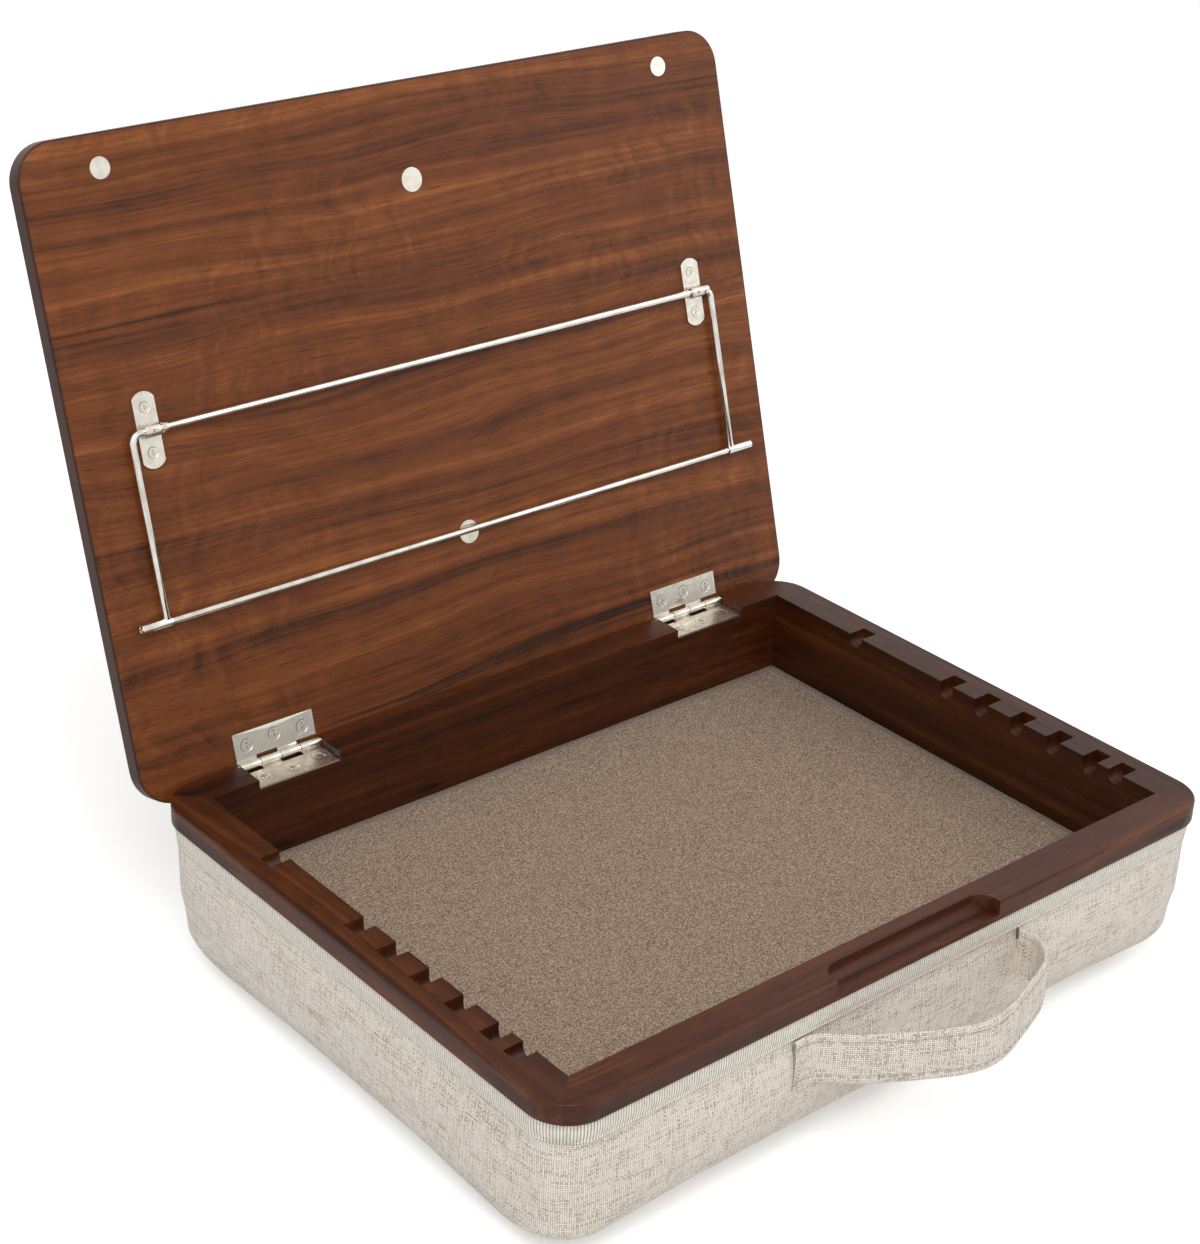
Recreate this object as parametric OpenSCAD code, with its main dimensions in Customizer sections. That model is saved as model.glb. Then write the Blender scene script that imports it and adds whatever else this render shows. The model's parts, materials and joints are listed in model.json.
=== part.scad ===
// Lap desk: a lined wooden tray on a fabric-covered cushion, under a hinged lid
// that folds back past upright and carries a folding wire stand.
// X runs along the width, Y from the handle side (front, negative) to the hinges,
// Z up. The origin is the middle of the cushion's flat underside.

/* [Tray] */
// Outer width of the wooden rim
tray_w = 390; // [340:1:460]
// Outer depth of the wooden rim, front to back
tray_d = 292.4; // [250:0.2:340]
// Height of the rim's top above the surface the cushion stands on
tray_h = 86; // [80:1:120]
// Width of the left and right rails
side_rail_w = 19.2; // [17:0.1:24]
// Width of the front and back rails
end_rail_w = 18.3; // [17:0.1:24]
// Height of the rim band that shows above the fabric
rim_h = 9.6; // [9:0.1:14]
// Corner radius of the rim
rim_r = 20; // [12:0.5:26]
// Rounding of the rim's upper edge
rim_edge_r = 1; // [0.5:0.1:2]
// Depth from the rim's top to the lined floor
inside_depth = 41.4; // [34:0.2:46]
// How far the rails step in below the rim, to take the fabric
fabric_step = 3.7; // [3:0.1:5]
// Thickness of the plywood floor
board_t = 4; // [3:0.5:6]
// Thickness of the lining mat
liner_t = 2; // [1:0.5:4]
// Gap round the lining mat
liner_gap = 0.3; // [0.2:0.1:1]

/* [Rod notches] */
// Width of a notch
notch_w = 8.6; // [7:0.1:10]
// Length of a notch across the rail, from its inner face
notch_l = 10.2; // [10:0.1:11]
// Depth of the notches that prop the lid
prop_notch_h = 8.4; // [7:0.1:9]
// Depth of the two notches that clear the rod when the lid is shut
rest_notch_h = 6.2; // [6.2:0.1:8]
// How many notches prop the lid
prop_count = 5; // [3:1:5]
// Distance from the rear rest notch to the first prop notch
prop_gap = 64.2; // [20:0.2:64.2]
// Distance from one prop notch to the next
prop_pitch = 23.2; // [18:0.1:23.4]

/* [Finger groove] */
// Length of the groove in the front rail
groove_l = 98; // [70:1:120]
// How far the groove reaches in from the front face
groove_d = 11; // [8:0.5:12]
// Depth of the groove's floor below the rim's top
groove_h = 6.8; // [5:0.1:7.5]
// Radius of the groove's two rear corners
groove_r = 8; // [5:0.5:8]
// Radius where the groove's back wall turns into its floor
groove_cove_r = 4.5; // [2:0.5:4.5]

/* [Lid] */
// How far the shut lid overhangs the rim at each side
side_overhang = 4.4; // [1:0.2:8]
// How far the shut lid overhangs the rim in front
front_overhang = 2.6; // [0:0.2:6]
// Thickness of the lid
lid_t = 9.5; // [8:0.5:14]
// Corner radius of the lid
lid_r = 18; // [12:0.5:30]
// Rounding of the lid's edges
lid_edge_r = 1; // [0.5:0.1:2]
// How far the lid reaches behind the hinge axis
lid_tail = 6.1; // [4.5:0.1:6.3]
// How far the lid turns from shut to its stop
lid_open = 106; // [90:1:106]
// Gap between the shut lid and the rim
lid_gap = 0.2; // [0.1:0.1:0.5]

/* [Hinges] */
// How far the hinge axis lies in front of the rim's rear face
axis_inset = 0.8; // [0.4:0.1:1]
// Length of a hinge along the rail
hinge_l = 44; // [36:1:60]
// Distance from the rim's side to the middle of a hinge
hinge_inset = 67.1; // [50:0.1:90]
// Reach of the rail's leaf from the hinge axis
rail_leaf_reach = 17.4; // [16:0.1:17.4]
// Reach of the lid's leaf from the hinge axis
lid_leaf_reach = 16; // [15:0.1:17.4]
// Thickness of a leaf
leaf_t = 0.9; // [0.8:0.1:1.2]
// Distance from the axis to a leaf's outer face
leaf_off = 2.5; // [2.4:0.1:3]
// Outer radius of the knuckles
knuckle_r = 2.15; // [2:0.05:2.15]
// How many knuckles a hinge has
knuckle_count = 4; // [4:2:6]
// Radius of the hinge pin
pin_r = 1; // [0.8:0.05:1.2]
// Radial clearance of the pin in the knuckles
pin_clear = 0.05; // [0.02:0.01:0.08]
// Gap beside the knuckles of the other leaf
knuckle_gap = 0.35; // [0.2:0.05:0.4]
// How far a leaf's slots reach past the knuckles of the other leaf
slot_reach = 1.5; // [0.4:0.1:2]
// Radius of the heads on a hinge pin's two ends
pin_head_r = 1.7; // [1.3:0.1:2]
// Length of a hinge pin's head
pin_head_l = 1.4; // [0.8:0.1:2]
// Spacing of the three screws in a leaf
leaf_screw_pitch = 15.3; // [11:0.1:16]
// Distance from the axis to the two outer screws of a leaf
leaf_screw_reach = 9.4; // [8:0.1:10]
// How much further from the axis the middle screw sits
leaf_screw_stagger = 1.2; // [0:0.1:2]

/* [Screws] */
// Radius of a hinge screw's head
leaf_head_r = 3; // [2.6:0.1:3.2]
// Height of a hinge screw's head
leaf_head_t = 1.7; // [1.2:0.1:2.2]
// Radius of a bracket or floor screw's head
head_r = 2.4; // [2:0.1:2.6]
// Radius of a screw shank
shank_r = 1.2; // [0.9:0.1:1.4]
// Length of a hinge or bracket screw below its head
screw_l = 5.5; // [4:0.5:6]
// Radial clearance round a shank
screw_clear = 0.05; // [0.02:0.01:0.1]
// Width of the ring left open round the top of a head
sink_gap = 0.3; // [0.05:0.05:0.4]
// Width of the cross recess in a head
recess_w = 0.6; // [0.4:0.1:0.8]
// Length of the screws that hold the floor
floor_screw_l = 16; // [12:1:20]
// Spacing of the floor screws along the side rails
floor_screw_pitch = 90; // [70:5:100]

/* [Magnets] */
// Radius of the two catch magnets at the lid's front corners
catch_r = 4.9; // [3:0.1:5.5]
// Distance from the rim's side to a catch magnet
catch_side = 35; // [30:1:60]
// Distance from the rim's front to the catch magnets
catch_front = 12.5; // [8:0.1:13]
// Radius of the two magnets that hold the stand
stand_magnet_r = 5.8; // [4:0.1:7]
// How far the middles of both magnets lie nearer the hinges than the rod
magnet_lead = 1.6; // [0:0.1:2.5]
// Thickness of a magnet
magnet_t = 3; // [2:0.5:4]
// Radius of the steel discs hidden in the front rail under the catch magnets
strike_r = 4; // [3:0.1:5]
// Thickness of those discs
strike_t = 2; // [1:0.5:3]
// Wood left over the discs
strike_cover = 1.5; // [1:0.1:3]
// Radial clearance round magnets and discs
magnet_clear = 0.05; // [0.02:0.01:0.1]

/* [Stand] */
// Radius of the stand's wire
wire_r = 1.75; // [1.25:0.05:2]
// Radius of the wire's two bends, on its centre line
bend_r = 5; // [4:0.5:8]
// Distance from the tray's inner wall to the centre line of an arm
arm_gap = 3.9; // [2.5:0.1:5]
// Distance from the lid's front edge to the stand's pivot
pivot_d = 130.8; // [120:0.2:140]
// Distance from the pivot to the cross rod
stand_l = 86.2; // [70:0.1:90]
// Outer radius of the sleeves on the cross rod's ends
sleeve_r = 2.25; // [2.1:0.05:2.4]
// How far a sleeve stops short of the end of its notch
sleeve_gap = 0.7; // [0.3:0.1:1.5]
// How far a sleeve reaches inwards past the centre line of its arm
sleeve_lap = 2.3; // [1.8:0.1:4]
// How far the cross rod stops short of the sleeves' ends
rod_recess = 3; // [1:0.5:5]
// Radius of the crimps that keep the wire from sliding
crimp_r = 2.4; // [2.2:0.1:2.6]
// Length of a crimp along the wire
crimp_l = 2.2; // [1.8:0.1:2.6]

/* [Brackets] */
// Distance from the centre line of an arm to the middle of its bracket
bracket_inset = 10.1; // [9:0.1:20]
// Length of a bracket
bracket_l = 35; // [32:0.5:40]
// Width of a bracket
bracket_w = 11.3; // [10:0.1:11.4]
// Thickness of the bracket's metal
bracket_t = 1.2; // [0.8:0.1:1.5]
// Width of the raised bridge over the wire
bridge_w = 7.6; // [5:0.1:8.4]
// Radial clearance between the wire and the bridge
bridge_clear = 0.08; // [0.05:0.01:0.1]
// Gap between a bracket's side and a crimp
crimp_gap = 0.3; // [0.2:0.1:0.5]
// Spacing of a bracket's two screws
bracket_screw_pitch = 20.6; // [18:0.1:23]
// Radius of the rounded ends
bracket_end_r = 6.8; // [6.2:0.1:8]
// Radius of the punched hole on top of the bridge
dimple_r = 0.7; // [0.4:0.1:0.9]

/* [Cushion and cover] */
// Thickness of the linen cover
cover_t = 1.2; // [0.8:0.1:1.5]
// Slack between the cover and what it wraps
cover_slack = 0.3; // [0.2:0.1:0.5]
// How much the cushion draws in below the tray's floor
cushion_taper = 1.5; // [0:0.1:3]
// Height of the cushion's rounded lower edge
edge_h = 19; // [14:1:32]
// Width of that edge at the left and right
edge_side_w = 14; // [10:1:36]
// Width of that edge at the front and back
edge_front_w = 36; // [18:1:44]
// How much the underside's rim lies above its flat middle
crown_h = 1.2; // [1:0.1:4]
// Width over which the underside falls to its flat middle
crown_w = 34; // [20:1:50]
// Plan radius of the cushion's corners at the underside
foot_r = 33; // [24:1:40]
// Depth cut off the crown so that the cushion stands flat
flat_cut = 0.5; // [0.3:0.1:1]
// Height of the twill tape under the rim
tape_h = 10.7; // [8:0.1:12]
// Thickness of the tape
tape_t = 0.9; // [0.5:0.1:1]

/* [Handle] */
// Height of the strap handle
strap_h = 24; // [18:1:28]
// Thickness of the strap
strap_t = 3.2; // [2:0.1:4]
// Gap between the tape and the strap's top edge
strap_drop = 0.6; // [0.2:0.1:1]
// Distance of the strap's left end from the desk's middle
strap_left = 71; // [60:1:90]
// Distance of the strap's right end from the desk's middle
strap_right = 66; // [60:1:90]
// How far the strap bows out from the cover
strap_bow = 37.6; // [28:0.2:45]
// Length of the end that is sewn flat to the cover
strap_tab = 7; // [5:0.5:10]

/* [Hidden] */
$fn = 48;

eps = 0.01;
overcut = 1;

// Tray levels and half sizes
half_w = tray_w / 2;
half_d = tray_d / 2;
inner_x = half_w - side_rail_w;
inner_y = half_d - end_rail_w;
band_z = tray_h - rim_h;
liner_top = tray_h - inside_depth;
board_top = liner_top - liner_t;
board_bottom = board_top - board_t;

// Hinge axis, and where the lid's features lie in front of it
axis_y = half_d - axis_inset;
axis_z = tray_h + lid_gap - leaf_off;
lid_reach = axis_y + half_d + front_overhang;
lid_w = tray_w + 2 * side_overhang;
lid_d = lid_reach + lid_tail;
hinge_x = half_w - hinge_inset;
pivot_y = pivot_d - lid_reach;
wire_drop = bracket_t + wire_r + bridge_clear;
pivot_z = leaf_off - wire_drop;
knuckle_l = hinge_l / knuckle_count;
floor_head_t = head_r - shank_r;
mortise_l = hinge_l + 2 * knuckle_gap;

// The shut lid sets where the rod's two rest notches lie
rest_rear_y = axis_y + pivot_y + stand_l;
rest_front_y = axis_y + pivot_y - stand_l;
prop_first_y = rest_rear_y - prop_gap;

// Places across the stand, from the middle outwards
arm_x = inner_x - arm_gap;
bracket_x = arm_x - bracket_inset;
sleeve_start = arm_x - sleeve_lap;
sleeve_end = inner_x + notch_l - sleeve_gap;

// Places repeated left and right
sides = [-1, 1];
leaf_screws = [for (i = [-1:1]) [i * leaf_screw_pitch,
    leaf_screw_reach + (i == 0 ? leaf_screw_stagger : 0)]];
bracket_screws_y = [for (s = sides) pivot_y + s * bracket_screw_pitch / 2];
catch_x = half_w - catch_side;
strike_y = catch_front - half_d;
strike_top = tray_h - strike_cover;

// Colours
wood = [0.48, 0.28, 0.16];
nickel = [0.82, 0.81, 0.79];
linen = [0.85, 0.82, 0.77];
twill = [0.74, 0.72, 0.68];
felt = [0.50, 0.44, 0.38];
plywood = [0.78, 0.66, 0.48];
foam = [0.93, 0.92, 0.86];

module rounded_rect(w, d, r) {
    square([w - 2 * r, d], center = true);
    square([w, d - 2 * r], center = true);
    for (x = sides, y = sides)
        translate([x * (w / 2 - r), y * (d / 2 - r)]) circle(r = r);
}

module plate(w, d, r, z0, z1) {
    translate([0, 0, z0]) linear_extrude(z1 - z0) rounded_rect(w, d, r);
}

// Outer part of a board's section, square at the left and rounded at the right
module edge_section(l, h, e, both) {
    low = both ? e : 0;
    square([l - e, h]);
    translate([0, low]) square([l, h - e - low]);
    translate([l - e, h - e]) circle(r = e);
    if (both) translate([l - e, e]) circle(r = e);
}

// A plate whose upper edge, or both edges, are rounded
module rounded_plate(w, d, r, z0, h, e, both) {
    translate([-w / 2 + r, -d / 2 + r, z0]) cube([w - 2 * r, d - 2 * r, h]);
    for (q = [0:3]) {
        run = q % 2 == 0 ? d - 2 * r : w - 2 * r;
        reach = q % 2 == 0 ? w / 2 - r : d / 2 - r;
        rotate([0, 0, 90 * q]) {
            translate([reach, run / 2, z0]) rotate([90, 0, 0])
                linear_extrude(run) edge_section(r, h, e, both);
            translate([reach, run / 2, z0]) rotate_extrude(angle = 90)
                edge_section(r, h, e, both);
        }
    }
}

// Turns what is drawn round the hinge axis with the lid shut into the open lid
module on_open_lid() {
    translate([0, axis_y, axis_z]) rotate([-lid_open, 0, 0]) children();
}

// The lid's underside is the plane leaf_off above the axis; children hang down from it
module under_lid(x, y) {
    translate([x, y, leaf_off]) mirror([0, 0, 1]) children();
}

module at_hinge(side) {
    translate([side * hinge_x, axis_y, axis_z]) children();
}

// A flush cross-head screw: its head's top is at z = 0 and its shank points down
module screw(top_r, head_t, length) {
    difference() {
        union() {
            translate([0, 0, -head_t]) cylinder(h = head_t, r1 = shank_r, r2 = top_r);
            translate([0, 0, -head_t - length]) cylinder(h = length + eps, r = shank_r);
        }
        for (a = [0, 90]) rotate([0, 0, a])
            translate([-top_r * 0.6, -recess_w / 2, -head_t * 0.55])
                cube([top_r * 1.2, recess_w, head_t]);
    }
}

// The hole for such a screw, through the metal and into the wood
module screw_hole(top_r, head_t, length) {
    translate([0, 0, -head_t])
        cylinder(h = head_t, r1 = shank_r + screw_clear, r2 = top_r + sink_gap);
    translate([0, 0, -eps]) cylinder(h = overcut, r = top_r + sink_gap);
    translate([0, 0, -head_t - length - overcut])
        cylinder(h = length + overcut + eps, r = shank_r + screw_clear);
}

module leaf_screw_places() {
    for (p = leaf_screws) translate([p[0], -p[1], leaf_t - leaf_off]) children();
}

module leaf_screw() {
    screw(leaf_head_r, leaf_head_t, screw_l);
}

module leaf_screw_hole() {
    screw_hole(leaf_head_r, leaf_head_t, screw_l);
}

// A notch drawn at the rail's inner face, running towards +X and open upwards
module rod_notch(y, depth) {
    translate([inner_x - overcut, y, tray_h]) rotate([90, 0, 90])
        linear_extrude(notch_l + overcut) {
            translate([0, -depth + notch_w / 2]) circle(d = notch_w);
            translate([-notch_w / 2, -depth + notch_w / 2]) square([notch_w, depth]);
        }
}

module rod_notches() {
    rod_notch(rest_rear_y, rest_notch_h);
    rod_notch(rest_front_y, rest_notch_h);
    for (i = [0:prop_count - 1]) rod_notch(prop_first_y - i * prop_pitch, prop_notch_h);
}

// Pocket across the back rail's top for a hinge, longer behind for the pin's heads
module hinge_mortise(side) {
    head_reach = pin_head_r + knuckle_gap;
    translate([side * hinge_x - mortise_l / 2, inner_y - overcut, axis_z - leaf_off])
        cube([mortise_l, end_rail_w + 2 * overcut, leaf_off * 2]);
    translate([side * hinge_x - mortise_l / 2 - pin_head_l, axis_y - head_reach, axis_z - head_reach])
        cube([mortise_l + 2 * pin_head_l, head_reach + axis_inset + overcut, leaf_off * 2]);
}

module finger_groove() {
    intersection() {
        translate([0, -half_d - overcut, tray_h - groove_h])
            linear_extrude(groove_h + overcut) {
                plan_d = groove_d + overcut;
                translate([-groove_l / 2, 0]) square([groove_l, plan_d - groove_r]);
                translate([-groove_l / 2 + groove_r, 0])
                    square([groove_l - 2 * groove_r, plan_d]);
                for (s = sides) translate([s * (groove_l / 2 - groove_r), plan_d - groove_r])
                    circle(r = groove_r);
            }
        translate([-groove_l / 2 - overcut, -half_d, tray_h]) rotate([90, 0, 90])
            linear_extrude(groove_l + 2 * overcut) {
                translate([-2 * overcut, -groove_h])
                    square([groove_d - groove_cove_r + 2 * overcut, groove_h + overcut]);
                translate([0, -groove_h + groove_cove_r])
                    square([groove_d, groove_h - groove_cove_r + overcut]);
                translate([groove_d - groove_cove_r, -groove_h + groove_cove_r])
                    circle(r = groove_cove_r);
            }
    }
}

// The four rails as one ring, before it is mitred
module rail_ring() {
    step_r = rim_r - fabric_step;
    difference() {
        union() {
            rounded_plate(tray_w, tray_d, rim_r, band_z, rim_h, rim_edge_r, false);
            plate(tray_w - 2 * fabric_step, tray_d - 2 * fabric_step, step_r, board_top, band_z);
        }
        translate([-inner_x, -inner_y, board_top - overcut])
            cube([2 * inner_x, 2 * inner_y, inside_depth + liner_t + 2 * overcut]);
    }
}

// The side of the ring between two mitres: [1, 0] is right, [0, 1] is back
module mitred(dir) {
    reach = 1.5;
    fx = inner_x + reach * side_rail_w;
    fy = inner_y + reach * end_rail_w;
    s = dir[0] + dir[1];
    points = dir[0] != 0
        ? [[s * inner_x, -inner_y], [s * fx, -fy], [s * fx, fy], [s * inner_x, inner_y]]
        : [[-inner_x, s * inner_y], [-fx, s * fy], [fx, s * fy], [inner_x, s * inner_y]];
    intersection() {
        rail_ring();
        translate([0, 0, board_top - overcut])
            linear_extrude(tray_h - board_top + 2 * overcut) polygon(points);
    }
}

module floor_screw_places() {
    x = half_w - fabric_step - (side_rail_w - fabric_step) / 2;
    y = half_d - fabric_step - (end_rail_w - fabric_step) / 2;
    for (s = sides, i = [-1:1]) translate([s * x, i * floor_screw_pitch, board_bottom])
        mirror([0, 0, 1]) children();
    for (s = sides, i = sides) translate([i * floor_screw_pitch, s * y, board_bottom])
        mirror([0, 0, 1]) children();
}

module floor_screw_holes() {
    floor_screw_places() screw_hole(head_r, floor_head_t, floor_screw_l);
}

module rim_rail_front() {
    color(wood) difference() {
        mitred([0, -1]);
        finger_groove();
        floor_screw_holes();
        for (s = sides) translate([s * catch_x, strike_y, board_top - overcut])
            cylinder(h = strike_top - board_top + overcut, r = strike_r + magnet_clear);
    }
}

module rim_rail_back() {
    color(wood) difference() {
        mitred([0, 1]);
        for (s = sides) {
            hinge_mortise(s);
            at_hinge(s) leaf_screw_places() leaf_screw_hole();
        }
        floor_screw_holes();
    }
}

module rim_rail_side(side) {
    color(wood) difference() {
        mitred([side, 0]);
        if (side > 0) rod_notches();
        else mirror([1, 0, 0]) rod_notches();
        floor_screw_holes();
    }
}

module floor_board() {
    color(plywood) difference() {
        plate(tray_w - 2 * fabric_step, tray_d - 2 * fabric_step, rim_r - fabric_step,
            board_bottom, board_top);
        floor_screw_holes();
    }
}

module floor_liner() {
    color(felt) translate([-inner_x + liner_gap, -inner_y + liner_gap, board_top])
        cube([2 * (inner_x - liner_gap), 2 * (inner_y - liner_gap), liner_t]);
}

module floor_screws() {
    color(nickel) floor_screw_places() screw(head_r, floor_head_t, floor_screw_l);
}

// Cushion: rings of points, each a rectangle with rounded corners, from the top down.
// A skin is how far the surface lies inside the cover's outer face.
corner_steps = 8;
edge_rings = 8;
side_x = half_w - fabric_step + cover_slack + cover_t;
side_y = half_d - fabric_step + cover_slack + cover_t;
side_r = rim_r - fabric_step + cover_slack + cover_t;

function ring(z, inset_x, inset_y, r) = [
    for (q = [0:3], i = [0:corner_steps])
        let (a = q * 90 + i * 90 / corner_steps,
             sx = (q == 0 || q == 3) ? 1 : -1,
             sy = q < 2 ? 1 : -1)
        [sx * (side_x - inset_x - r) + r * cos(a), sy * (side_y - inset_y - r) + r * sin(a), z]
];

// The side that draws in, the rounded edge and the crowned underside. Each row holds
// the height, the insets at the sides and at the ends, and the corner's radius.
function side_levels(skin, z_top) = [
    [z_top, skin, skin, side_r - skin],
    [board_bottom, skin, skin, side_r - skin],
    for (t = [1:2]) let (k = t / 3, inset = skin + cushion_taper * sin(k * 90))
        [board_bottom + (edge_h - board_bottom) * k, inset, inset, side_r - skin]
];
function edge_levels(skin) = [
    for (i = [0:edge_rings]) let (a = i * 90 / edge_rings, turn = 1 - cos(a), start = skin + cushion_taper)
        [edge_h - (edge_h - crown_h - skin) * sin(a),
         start + (edge_side_w - skin) * turn,
         start + (edge_front_w - skin) * turn,
         (side_r - skin) + (foot_r - side_r) * sin(a)]
];
function crown_level(z, out) =
    [z, cushion_taper + edge_side_w + out, cushion_taper + edge_front_w + out, foot_r];
function crown_levels(skin) = [
    crown_level(crown_h * 0.3 - flat_cut + skin, crown_w * 0.45),
    crown_level(skin - flat_cut, crown_w)
];
function levels(skin, z_top) = concat(side_levels(skin, z_top), edge_levels(skin), crown_levels(skin));

module ringed_solid(rows) {
    n = 4 * (corner_steps + 1);
    points = [for (row = rows) each ring(row[0], row[1], row[2], row[3])];
    last = len(rows) - 1;
    faces = concat(
        [[for (i = [n - 1:-1:0]) i]],
        [for (k = [0:last - 1], i = [0:n - 1]) let (a = k * n + i, b = k * n + (i + 1) % n)
            each [[a, b, b + n], [a, b + n, a + n]]],
        [[for (i = [0:n - 1]) last * n + i]]
    );
    polyhedron(points, faces);
}

module cushion_core() {
    skin = cover_t + cover_slack;
    color(foam) difference() {
        ringed_solid(levels(skin, board_bottom + overcut));
        translate([-half_w, -half_d, board_bottom]) cube([tray_w, tray_d, 2 * overcut]);
    }
}

module fabric_cover() {
    color(linen) difference() {
        ringed_solid(levels(0, band_z));
        ringed_solid(levels(cover_t, band_z + overcut));
        translate([-half_w, -half_d, -flat_cut - overcut]) cube([tray_w, tray_d, overcut + flat_cut]);
    }
}

module binding_tape() {
    z1 = band_z;
    z0 = z1 - tape_h;
    inset = half_w - side_x;
    color(twill) difference() {
        plate(2 * side_x + 2 * tape_t, 2 * side_y + 2 * tape_t, side_r + tape_t, z0, z1);
        plate(2 * side_x, 2 * side_y, side_r, z0 - overcut, z1 + overcut);
    }
}

// The strap's centre line in plan: how far along it is, and how far out it bows,
// as shares of its span and of its bow. Its left end lies flat against the cover.
strap_span = strap_left + strap_right;
strap_shape = [[0.10, 0.07], [0.19, 0.34], [0.29, 0.57], [0.40, 0.79], [0.50, 0.95],
    [0.58, 1], [0.67, 0.95], [0.76, 0.84], [0.84, 0.74], [0.92, 0.62], [0.98, 0.43],
    [1.008, 0.22], [1, 0], [0.996, -0.1]];
strap_y = -side_y - strap_t / 2;
strap_path = concat(
    [for (k = [0, 0.5, 1]) [k * strap_tab - strap_left, strap_y]],
    [for (p = strap_shape) [p[0] * strap_span - strap_left, strap_y - p[1] * strap_bow]]);
strap_steps = 4;

// A point on the smooth curve that passes through points i and i + 1
function curve_point(p, i, t) =
    let (a = p[max(i - 1, 0)], b = p[i], c = p[i + 1], d = p[min(i + 2, len(p) - 1)])
    (2 * b + (c - a) * t + (2 * a - 5 * b + 4 * c - d) * t * t
        + (3 * b - a - 3 * c + d) * t * t * t) / 2;
function side_line(line, off) = [for (i = [0:len(line) - 1])
    let (t = line[min(i + 1, len(line) - 1)] - line[max(i - 1, 0)], n = [-t[1], t[0]] / norm(t))
    line[i] + off * n];

module carry_handle() {
    line = [for (i = [0:len(strap_path) - 2], k = [0:strap_steps - 1])
        curve_point(strap_path, i, k / strap_steps)];
    outer = side_line(line, -strap_t / 2);
    inner = side_line(line, strap_t / 2);
    last = len(line) - 1;
    z1 = band_z - tape_h - strap_drop;
    color(linen) intersection() {
        translate([0, 0, z1 - strap_h]) linear_extrude(strap_h)
            polygon(concat(outer, [for (i = [last:-1:0]) inner[i]]));
        translate([-half_w, -side_y - 2 * strap_bow, z1 - 2 * strap_h])
            cube([tray_w, 2 * strap_bow, 3 * strap_h]);
    }
}

module hinge_leaf(reach, first) {
    span = hinge_l / 2;
    slot = knuckle_r + slot_reach;
    difference() {
        union() {
            translate([-span, -reach, -leaf_off]) cube([hinge_l, reach, leaf_t]);
            translate([-span, 0, 0]) rotate([0, 90, 0]) cylinder(h = hinge_l, r = knuckle_r);
        }
        for (i = [first:2:knuckle_count - 1])
            translate([-span + i * knuckle_l - knuckle_gap / 2, -slot, -leaf_off - overcut])
                cube([knuckle_l + knuckle_gap, 2 * slot, 2 * leaf_off + overcut]);
        translate([-span - overcut, 0, 0]) rotate([0, 90, 0])
            cylinder(h = hinge_l + 2 * overcut, r = pin_r + pin_clear);
        leaf_screw_places() leaf_screw_hole();
    }
}

module hinge_leaf_lower(side) {
    color(nickel) at_hinge(side) hinge_leaf(rail_leaf_reach, 0);
}

module hinge_leaf_upper(side) {
    color(nickel) on_open_lid() translate([side * hinge_x, 0, 0])
        mirror([0, 0, 1]) hinge_leaf(lid_leaf_reach, 1);
}

// The pin, closed at both ends by a turned head with a bevelled edge
module hinge_pin(side) {
    start = hinge_l / 2 + pin_clear;
    edge = pin_head_l / 2;
    color(nickel) at_hinge(side) rotate([0, 90, 0]) {
        cylinder(h = 2 * start + eps, r = pin_r, center = true);
        for (s = sides) rotate([s > 0 ? 0 : 180, 0, 0]) translate([0, 0, start]) {
            cylinder(h = pin_head_l - edge, r = pin_head_r);
            translate([0, 0, pin_head_l - edge]) cylinder(h = edge, r1 = pin_head_r, r2 = pin_r);
        }
    }
}

module rail_hinge_screws() {
    color(nickel) for (s = sides) at_hinge(s) leaf_screw_places() leaf_screw();
}

module lid_hinge_screw_places() {
    for (s = sides) translate([s * hinge_x, 0, 0]) mirror([0, 0, 1]) leaf_screw_places() children();
}

module lid_hinge_screws() {
    color(nickel) on_open_lid() lid_hinge_screw_places() leaf_screw();
}

// The discs sit at the top of blind bores that are drilled from below
module strike_discs() {
    color(nickel) for (s = sides) translate([s * catch_x, strike_y, strike_top - strike_t])
        cylinder(h = strike_t, r = strike_r);
}

// Magnet places in the shut lid, as [x, y from the axis, radius]
catch_places = [for (s = sides) [s * catch_x, strike_y - axis_y, catch_r]];
stand_places = [for (s = sides) [0, pivot_y + magnet_lead + s * stand_l, stand_magnet_r]];

module magnets_at(places) {
    for (p = places) translate([p[0], p[1], leaf_off]) cylinder(h = magnet_t, r = p[2]);
}

module magnet_pockets(places) {
    for (p = places) translate([p[0], p[1], leaf_off - overcut])
        cylinder(h = magnet_t + overcut, r = p[2] + magnet_clear);
}

module bracket_screw_places() {
    for (s = sides, y = bracket_screws_y)
        translate([s * bracket_x, y, leaf_off - bracket_t]) mirror([0, 0, 1]) children();
}

module lid_panel() {
    color(wood) on_open_lid() difference() {
        translate([0, lid_tail - lid_d / 2, 0])
            rounded_plate(lid_w, lid_d, lid_r, leaf_off, lid_t, lid_edge_r, true);
        magnet_pockets(catch_places);
        magnet_pockets(stand_places);
        lid_hinge_screw_places() leaf_screw_hole();
        bracket_screw_places() screw_hole(head_r, bracket_t, screw_l);
    }
}

module catch_magnets() {
    color(nickel) on_open_lid() magnets_at(catch_places);
}

module stand_magnets() {
    color(nickel) on_open_lid() magnets_at(stand_places);
}

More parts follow.
